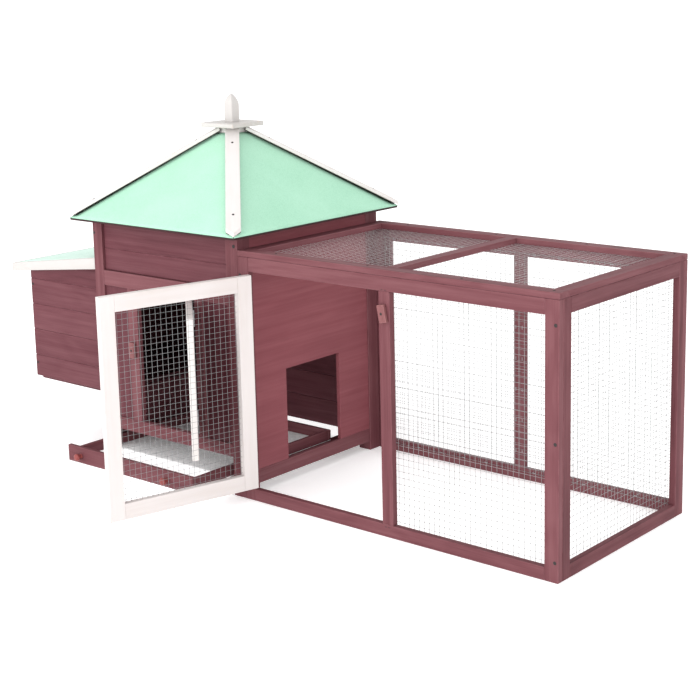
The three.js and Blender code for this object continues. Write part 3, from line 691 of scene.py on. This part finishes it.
def hip(name, sx, sy):
    a = row(RCX + sx * RHX, RCY + sy * RHY, EZ)
    b_ = row(RCX + sx * CX, RCY + sy * CY, CZ)
    d = (b_ - a)
    ln = d.length
    d.normalize()
    w = Vector((0, 0, 1)).cross(d).normalized()
    n = d.cross(w)
    hi = ln + 0.008        # the head tucks in under the finial plate
    bd = Build()
    # each strip is a white board over a thin near-black layer, which draws the dark line along its edges
    for h0, h1, hw, m_, bv, lo in ((0.0023, 0.0114, 0.0195, 0, 0.0012, -0.02), (0.0004, 0.0022, 0.0190, 1, 0.0002, 0.012)):
        c = [[[a + d * s + w * t + n * h for h in (h0, h1)] for t in (-hw, hw)] for s in (lo, hi)]
        bd.hexa(c, 0, bv, rng.uniform(-0.5, 0.5), mat=m_)
    ob = bd.object(f"{name}_board", [M_HIP_LIT, M_DARK], "root", "white_paint", [name])
    # cut the foot along both eaves
    bm = bmesh.new(); bm.from_mesh(ob.data)
    for co, no in ((row(EX[0] - 1 if sx < 0 else EX[1] + 1, 0, 0), Vector((sx, 0, 0))), (row(0, EY[0] - 1 if sy < 0 else EY[1] + 1, 0), Vector((0, sy, 0)))):
        r = bmesh.ops.bisect_plane(bm, geom=bm.verts[:] + bm.edges[:] + bm.faces[:], dist=1e-6, plane_co=co, plane_no=no, clear_outer=True)
        edges = [e for e in r["geom_cut"] if isinstance(e, bmesh.types.BMEdge)]
        bmesh.ops.holes_fill(bm, edges=edges, sides=0)
    bmesh.ops.recalc_face_normals(bm, faces=bm.faces)
    bm.to_mesh(ob.data); bm.free()
    return a, d, n, ln


HIPS = {}
for name, sx, sy in (("hip_strip_front_left", -1, -1), ("hip_strip_front_right", 1, -1), ("hip_strip_back_right", 1, 1), ("hip_strip_back_left", -1, 1)):
    HIPS[name] = hip(name, sx, sy)

one_board("finial_block", 2, M_HIP_LIT, "white_paint")
one_board("finial_plate", 0, M_TRIM_SHADED, "white_paint", b=0.0016)
# spire: square post with a rounded bullet point
bd = Build()
rings = [(964.3, 0.985), (965.2, 1.0)] + [(z, 1.0) for z in (980, 1000, 1009)] + [(1009 + 35 * h, 1 - h ** 2.1) for h in (0.12, 0.24, 0.36, 0.48, 0.6, 0.7, 0.8, 0.88, 0.95)]
cs = []
RC = 1.6
for a in range(4):
    for t in (0, 45, 90):
        ang = math.radians(a * 90 + t)
        sx, sy = [(1, 1), (-1, 1), (-1, -1), (1, -1)][a]
        cs.append((sx * (15 - RC) + RC * math.cos(ang), sy * (15 - RC) + RC * math.sin(ang)))
ns = len(cs)
for z, s in rings:
    for cx_, cy_ in cs:
        bd.v.append(row(RCX + cx_ * s, RCY + cy_ * s, z))
        bd.gc.append([z / 1000, cx_ / 1000, cy_ / 1000]); bd.tint.append(0.1)
for r_ in range(len(rings) - 1):
    for i in range(ns):
        j = (i + 1) % ns
        bd.f.append([r_ * ns + i, r_ * ns + j, (r_ + 1) * ns + j, (r_ + 1) * ns + i])
bd.f.append(list(range(ns))[::-1])
bd.v.append(row(RCX, RCY, 1044)); bd.gc.append([1.044, 0, 0]); bd.tint.append(0.1)
for i in range(ns):
    bd.f.append([(len(rings) - 1) * ns + i, (len(rings) - 1) * ns + (i + 1) % ns, len(bd.v) - 1])
bd.edge = [0.0] * len(bd.f); bd.mat = [0] * len(bd.f)
bd.smooth = [False] * len(bd.f)
ob = bd.object("finial_spire_post", [M_TRIM_SHADED], "root", "white_paint", ["finial_spire"])

# ------------------------------------------------------------------ tray
one_board("tray_front_board", 0, body="tray", tint=0.4)
one_board("tray_back_board", 0, body="tray", tint=-0.4)
one_board("tray_side_left", 1, body="tray", tint=0.1)
one_board("tray_side_right", 1, body="tray", tint=-0.2)
one_board("tray_runner_left", 1, tint=-0.5)
one_board("tray_runner_right", 1, tint=-0.5)
x, y, z = node_range("tray_floor_sheet")
Build().box(x, y, z, 1, 0.0003, 0).object("tray_floor_panel", [M_SHEET], "tray", "galvanised_sheet", ["tray_floor_sheet"])
for node in ("tray_knob_left", "tray_knob_right"):
    x, y, z = node_range(node)
    c = row(sum(x) / 2, y[1], sum(z) / 2)
    prof = [(0, 0.0), (0.0069, 0.0), (0.0072, 0.0008), (0.0066, 0.0022), (0.0058, 0.0045), (0.0060, 0.007), (0.0078, 0.0094), (0.0096, 0.0118), (0.0104, 0.0142), (0.0104, 0.0162), (0.0094, 0.0182), (0.0074, 0.0196), (0.0046, 0.0205), (0.002, 0.0209), (0, 0.021)]
    Build().ring(c, (0, -1, 0), prof, 32).object(node + "_turned", [M_KNOB], "tray", "knob_wood", [node], fix=True)

# ------------------------------------------------------------------ run frames
bd = Build()
Y = (0, 18)
bd.box((0.3, 37.4), Y, (0, 654.5), 2, tint=0.1)
bd.box((938.6, 976), Y, (0, 654.5), 2, tint=0.45)
bd.box((37.6, 938.4), Y, (617.6, 654.5), 0, tint=0.25)
bd.box((37.6, 938.4), Y, (0, 32), 0, tint=0.35)
bd.box((468, 501.7), Y, (32.1, 617.4), 2, tint=0.35)
bd.object("run_front_members", [M_FRAME], "root", "red_framing", ["run_front_frame"])
bd = Build()
X = (958, 976)
# the end's members take tints of -1.1 to -0.7, well below the front and top members: painted shade on the run's end,
# which faces away from the key light
bd.box(X, (18.3, 50.9), (0, 654.5), 2, tint=-1.1)
bd.box(X, (541.8, 563.7), (0, 654.5), 2, tint=-0.8)
bd.box(X, (51.1, 541.6), (617.6, 654.5), 1, tint=-0.9)
bd.box(X, (51.1, 541.6), (0, 32), 1, tint=-0.7)
bd.object("run_end_members", [M_FRAME], "root", "red_framing", ["run_end_frame"])
bd = Build()
Y = (564, 582)
bd.box((0.3, 49.9), Y, (0, 654.5), 2)
bd.box((948.1, 976), Y, (0, 654.5), 2)
bd.box((50.1, 947.9), Y, (617.6, 654.5), 0)
bd.box((50.1, 947.9), Y, (0, 32), 0)
bd.box((474, 508), Y, (32.1, 617.4), 2)
bd.object("run_back_members", [M_FRAME], "root", "red_framing", ["run_back_frame"])
bd = Build()
Z = (655, 670)
bd.box((0.3, 976), (0, 38.9), Z, 0, tint=0.6)
bd.box((0.3, 976), (543.1, 582), Z, 0, tint=0.4)
bd.box((0.3, 38.9), (39.1, 542.9), Z, 1, tint=0.2)
bd.box((938.1, 976), (39.1, 542.9), Z, 1, tint=0.5)
bd.box((465.5, 497), (39.1, 542.9), Z, 1, tint=0.6)
bd.object("run_top_members", [M_FRAME], "root", "red_framing", ["run_top_frame"])

# ------------------------------------------------------------------ doors
def pose(axis_xy, deg):
    return Matrix.Translation(row(axis_xy[0], axis_xy[1], 0)) @ Matrix.Rotation(math.radians(deg), 4, "Z")


RD = pose((38, -3), -105)
bd = Build()
Y = (3, 21)
bd.box((0.9, 41.8), Y, (43, 612), 2, b=0.0007, place=RD)
bd.box((387.5, 428.4), Y, (43, 612), 2, b=0.0007, place=RD)
bd.box((42.0, 387.3), Y, (571, 612), 0, b=0.0007, place=RD)
bd.box((42.0, 387.3), Y, (43, 84), 0, b=0.0007, place=RD)
bd.object("run_door_members", [M_WHITE], "run_door", "white_paint", ["run_door_frame"])

HD = pose((-167.6, -2.8), 180 + 136.7)
bd = Build()
Y = (-20, -3)
bd.box((1.6, 35.5), Y, (144.1, 518.3), 2, place=HD)
bd.box((192.7, 226.6), Y, (144.1, 518.3), 2, place=HD)
bd.box((35.7, 192.5), Y, (484.4, 518.3), 0, place=HD)
bd.box((35.7, 192.5), Y, (144.1, 178.0), 0, place=HD)
bd.object("house_door_members", [M_DOOR_LIT], "house_door", "white_paint", ["house_door_frame"])
bd = Build()
w = (192.2 - 36.0) / 2
for i in range(2):
    bd.box((36.0 + w * i + 0.1, 36.0 + w * (i + 1) - 0.1), (-15, -7), (178.4, 484.0), 2, b=0.002, place=HD)
bd.object("house_door_boards", [M_BOARD], "house_door", "red_boards", ["house_door_panel"])


# ------------------------------------------------------------------ welded wire
def wires(name, f, u, v, body, replaces, pitch=15.4, r=0.00043, inset=3.0, mat=M_WIRE, up=None):
    """f(a, b, h) is the point at a across, b up and h proud of the panel's mid-plane, in metres; u and v are the panel's ranges in mm."""
    bd = Build()
    nu = max(2, round((u[1] - u[0] - 2 * inset) / pitch))
    nv = max(2, round((v[1] - v[0] - 2 * inset) / (up or pitch)))
    us = np.linspace(u[0] + inset, u[1] - inset, nu + 1)
    vs = np.linspace(v[0] + inset, v[1] - inset, nv + 1)
    hr = r * 1000 * 0.9
    for a in us:
        o = rng.normal(0, 0.12)
        ph = rng.uniform(0, 6.28)
        am = rng.uniform(0.1, 0.45)
        pts = [f(a + o + am * math.sin(ph + 5.0 * t), v[0] + (v[1] - v[0]) * t, hr * 0.5 + 0.05 * math.sin(9 * t + ph)) for t in np.linspace(0, 1, 9)]
        bd.wire(pts, r)
    for b in vs:
        o = rng.normal(0, 0.12)
        ph = rng.uniform(0, 6.28)
        am = rng.uniform(0.1, 0.45)
        pts = [f(u[0] + (u[1] - u[0]) * t, b + o + am * math.sin(ph + 5.0 * t), -hr * 0.5 + 0.05 * math.sin(9 * t + ph)) for t in np.linspace(0, 1, 9)]
        bd.wire(pts, r)
    return bd.object(name, [mat], body, "galvanised_wire", [replaces])


x, y, z = node_range("run_mesh_front")
yc = sum(y) / 2
wires("run_front_wires", lambda a, b, h: row(a, yc + h, b), x, z, "root", "run_mesh_front", up=16.4)
x, y, z = node_range("run_mesh_end")
xc = sum(x) / 2
wires("run_end_wires", lambda a, b, h: row(xc + h, a, b), y, z, "root", "run_mesh_end")
x, y, z = node_range("run_mesh_back")
yc2 = sum(y) / 2
wires("run_back_wires", lambda a, b, h: row(a, yc2 + h, b), x, z, "root", "run_mesh_back")
x, y, z = node_range("run_mesh_top")
zc = sum(z) / 2
wires("run_top_wires", lambda a, b, h: row(a, b, zc + h), x, y, "root", "run_mesh_top", r=0.00028, mat=M_WIRE_TOP_LIT)
wires("run_door_wires", lambda a, b, h: RD @ Vector((a / 1000, (12.0 + h) / 1000, b / 1000)), (42.2, 387.1), (84.3, 570.7), "run_door", "run_door_mesh", pitch=14.9, r=0.00045, inset=6.5, mat=M_WIRE_DOOR_SHADED)

# ------------------------------------------------------------------ hardware
def screw(bd, at, nrm, r=0.0036, mat=0):
    prof = [(0, -0.0004), (r, -0.0004), (r, 0.0002), (r * 0.86, 0.0007), (r * 0.45, 0.0009), (r * 0.30, 0.0008), (r * 0.16, 0.0003), (0, 0.00025)]
    bd.ring(at, nrm, prof, 16, mat)


def hinge(name, node, origin, up, fix_dir, move_dir, body, height, fix_len, move_len, move_gap=0.0):
    """A butt hinge. origin is the pin's middle; fix_dir and move_dir each give a leaf's direction and the way its back
    faces.
    """
    up = Vector(up).normalized()
    r, t = 0.0026, 0.0012

    def leaf(direction, back, lo, hi, gap):
        bd = Build()
        d = Vector(direction).normalized()
        n = Vector(back).normalized()
        c = [[[origin + d * a + n * s + up * q for q in (-height / 2, height / 2)] for s in (r - t + gap, r + gap)] for a in (lo, hi)]
        bd.hexa(c, 2, 0.0003, 0)
        for q in (-height * 0.33, 0.0, height * 0.33):
            screw(bd, origin + d * (lo + (hi - lo) * 0.62) + n * (r - t + gap) + up * q, -n, 0.0028, 1)
        return bd

    def knuckle(bd, which):
        h = height / 5
        for i in which:
            a = -height / 2 + h * i + 0.0002
            prof = [(0, a), (r * 0.9, a), (r, a + 0.0003), (r, a + h - 0.0007), (r * 0.9, a + h - 0.0004), (0, a + h - 0.0004)]
            bd.ring(origin, up, prof, 20)

    fb = leaf(fix_dir[0], fix_dir[1], 0.0016, fix_len, 0.0)
    knuckle(fb, (0, 2, 4))
    fb.object(name + "_fixed_leaf", [M_ZINC, M_SCREW], "root", "zinc_hardware", [node], fix=True)
    mb = leaf(move_dir[0], move_dir[1], 0.0016, move_len, move_gap)
    knuckle(mb, (1, 3))
    mb.object(name + "_moving_leaf", [M_ZINC, M_SCREW], body, "zinc_hardware", fix=True)


for nm, node, z in (("run_door_hinge_top", "run_door_hinge_top", 520), ("run_door_hinge_bottom", "run_door_hinge_bottom", 135)):
    R = Matrix.Rotation(math.radians(-105), 3, "Z")
    hinge(nm, node, row(38, -3, z), (0, 0, 1), (Vector((-1, 0, 0)), Vector((0, 1, 0))), (R @ Vector((1, 0, 0)), R @ Vector((0, 1, 0))), "run_door", 0.060, 0.027, 0.029, 0.0002)
# the house door's butt hinges: leaves let in between the door's edge and the stile
for node, z in (("house_door_hinge_top", 469), ("house_door_hinge_bottom", 193)):
    R = Matrix.Rotation(math.radians(136.7), 3, "Z")
    o = row(-167.6, -2.8, z)
    for tag, which, body in (("fixed", (0, 2, 4), "root"), ("moving", (1, 3), "house_door")):
        bd = Build()
        if tag == "fixed":
            f = lambda a, b, q: o + Vector((a, b, q)) / 1000
            bd.hexa([[[f(a, b, q) for q in (-23, 23)] for b in (0, 16)] for a in (-1.4, -0.3)], 2, 0.0002, 0)
        else:
            f = lambda a, b, q: o + R @ (Vector((a, b, q)) / 1000)
            bd.hexa([[[f(a, b, q) for q in (-23, 23)] for b in (0, 18)] for a in (-2.7, -1.5)], 2, 0.0002, 0)
        for i in which:
            a = -0.023 + 0.0092 * i + 0.0002
            bd.ring(o, (0, 0, 1), [(0, a), (0.0021, a), (0.0024, a + 0.0003), (0.0024, a + 0.0085), (0.0021, a + 0.0088), (0, a + 0.0088)], 20)
        bd.object(f"{node}_{tag}_leaf", [M_ZINC], body, "zinc_hardware", [node] if tag == "fixed" else (), fix=True)
sl = math.atan2(591.5 - 538, LX1 - LX0)
for nm, node, y in (("nest_lid_hinge_front", "nest_lid_hinge_front", 150), ("nest_lid_hinge_back", "nest_lid_hinge_back", 432)):
    hinge(nm, node, row(-565.9, y, 596.7), (0, 1, 0), (Vector((0, 0, 1)), Vector((1, 0, 0))), (Vector((-math.cos(sl), 0, -math.sin(sl))), Vector((math.sin(sl), 0, -math.cos(sl)))), "nest_lid", 0.054, 0.026, 0.028, 0.0022)

# turn buttons, chamfered, on a screw each
for node, body, c, tilt in (("run_turn_button", "run_button", (483.5, -0.5, 564), 11), ("house_turn_button", "house_button", (-417.5, -0.3, 346.6), 0)):
    bd = Build()
    a = math.radians(tilt)
    ex, ez = Vector((math.cos(a), 0, math.sin(a))), Vector((-math.sin(a), 0, math.cos(a)))
    o = row(*c)
    cc = [[[o + ex * s + Vector((0, -1, 0)) * q + ez * t for t in (-0.022, 0.022)] for q in (0.010, 0.0)] for s in (-0.011, 0.011)]
    bd.hexa(cc, 2, 0.0016, 0.5)
    screw(bd, o + Vector((0, -0.010, 0)), (0, -1, 0), 0.0034, 1)
    bd.object(node + "_block", [M_BUTTON, M_SCREW], body, "button_wood", [node], fix=True)

# screws and staples
bd = Build()
for z in (597, 326, 48):
    screw(bd, row(967, 0, z), (0, -1, 0), 0.0044)
    screw(bd, row(967, 582, z), (0, 1, 0), 0.0044)
for z in (478, 237):
    screw(bd, row(-888, 30, z), (0, -1, 0), 0.0042)
    screw(bd, row(-888, 552, z), (0, 1, 0), 0.0042)
screw(bd, row(-11.3, 0, 678.5), (0, -1, 0), 0.0050)
screw(bd, row(8, 0, 606), (0, -1, 0), 0.0044)
screw(bd, row(-559, 0, 666), (0, -1, 0), 0.0040)
for name, (a, d, n, ln) in HIPS.items():
    for s in (0.175, 0.865):
        screw(bd, a + d * (ln * s) + n * 0.0114, n, 0.0034)
for x in (120, 420, 700, 950):
    screw(bd, row(x, 20, 670), (0, 0, 1), 0.0032)
    screw(bd, row(x, 562, 670), (0, 0, 1), 0.0032)
bd.object("fixing_screws", [M_SCREW], "root", "zinc_hardware", fix=True)

# staples that tie the frame joints, and those that hold the wire
bd = Build()


def staple(at, along, out, w=0.010):
    along, out = Vector(along).normalized(), Vector(out).normalized()
    side = along.cross(out)
    t = 0.0006
    c = [[[at + along * a + side * s + out * q for q in (-0.0004, 0.0008)] for s in (-t, t)] for a in (-w / 2, w / 2)]
    bd.hexa(c, 0, 0.0002, 0)


for x in (479, 489):
    staple(row(x, 0, 621), (1, 0, 0), (0, -1, 0), 0.005)
    staple(row(x, 0, 26), (1, 0, 0), (0, -1, 0), 0.005)
for x in (485, 497):
    staple(row(x, 582, 621), (1, 0, 0), (0, 1, 0), 0.005)
    staple(row(x, 582, 26), (1, 0, 0), (0, 1, 0), 0.005)
bd.object("joint_staples", [M_SCREW], "root", "zinc_hardware", fix=True)
bd = Build()
for xx in np.arange(520, 930, 78):
    for zz in (25, 624):
        staple(row(xx, 19.2, zz), (1, 0, 0), (0, 1, 0))
for zz in np.arange(80, 600, 86):
    for xx in (496, 945):
        staple(row(xx, 19.2, zz), (0, 0, 1), (0, 1, 0))
for zz in np.arange(80, 600, 86):
    for yy in (40, 549):
        staple(row(956.8, yy, zz), (0, 0, 1), (-1, 0, 0))
for yy in np.arange(70, 540, 80):
    for zz in (25, 624):
        staple(row(956.8, yy, zz), (0, 1, 0), (-1, 0, 0))
for xx in list(np.arange(70, 460, 78)) + list(np.arange(540, 925, 78)):
    for zz in (25, 624):
        staple(row(xx, 562.8, zz), (1, 0, 0), (0, -1, 0))
for zz in np.arange(80, 600, 86):
    for xx in (41, 482, 502, 951):
        staple(row(xx, 562.8, zz), (0, 0, 1), (0, -1, 0))
bd.object("wire_staples", [M_ZINC], "root", "zinc_hardware", fix=True)

# ------------------------------------------------------------------ stage, light, camera
me = bpy.data.meshes.new("floor")
me.from_pydata([(-40, -40, -0.0006), (40, -40, -0.0006), (40, 40, -0.0006), (-40, 40, -0.0006)], [], [(0, 1, 2, 3)])
floor = bpy.data.objects.new("floor", me)
bpy.context.scene.collection.objects.link(floor)
fm, nt, b = new_mat("pale_floor")
b.inputs["Base Color"].default_value = (0.97, 0.97, 0.97, 1)
b.inputs["Emission Color"].default_value = (1, 1, 1, 1)
b.inputs["Emission Strength"].default_value = 0.28
b.inputs["Roughness"].default_value = 0.9
me.materials.append(fm)

world = bpy.data.worlds.new("studio")
bpy.context.scene.world = world
world.use_nodes = True
world.node_tree.nodes["Background"].inputs[0].default_value = (1, 1, 1, 1)
world.node_tree.nodes["Background"].inputs[1].default_value = 1.16


def area(name, at, to, size, power):
    l = bpy.data.lights.new(name, "AREA")
    l.shape = "DISK"
    l.size = size
    l.energy = power
    o = bpy.data.objects.new(name, l)
    o.location = at
    o.rotation_euler = (Vector(to) - Vector(at)).to_track_quat("-Z", "Y").to_euler()
    bpy.context.scene.collection.objects.link(o)


area("key", (-2.6, -4.8, 3.0), (0, 0, 0.4), 3.4, 112)
area("low", (0.9, -4.6, 1.0), (-0.3, -0.4, 0.3), 2.6, 66)
area("fill", (4.6, -2.6, 2.0), (0, 0, 0.4), 3.0, 70)

bpy.context.scene.view_settings.view_transform = "Standard"
bpy.context.scene.view_settings.look = "None"

cam = bpy.data.cameras.new("camera")
co = bpy.data.objects.new("camera", cam)
bpy.context.scene.collection.objects.link(co)
yaw, pitch, roll = math.radians(-40.408), math.radians(11.392), math.radians(-1.307)
d = Vector((math.sin(yaw) * math.cos(pitch), math.cos(yaw) * math.cos(pitch), -math.sin(pitch)))
right = Vector((math.cos(yaw), -math.sin(yaw), 0))
up = right.cross(d)
r2 = right * math.cos(roll) + up * math.sin(roll)
u2 = up * math.cos(roll) - right * math.sin(roll)
rot = Matrix((r2, u2, -d)).transposed()
co.matrix_world = Matrix.Translation(row(2723.6, -2749.6, 1346.9)) @ rot.to_4x4()
cam.sensor_width = 36
cam.lens = 1521.4 / 700 * 36
cam.shift_x = -(350.75 - 350) / 700
cam.shift_y = (286.0 - 350) / 700
cam.clip_end = 200
bpy.context.scene.camera = co
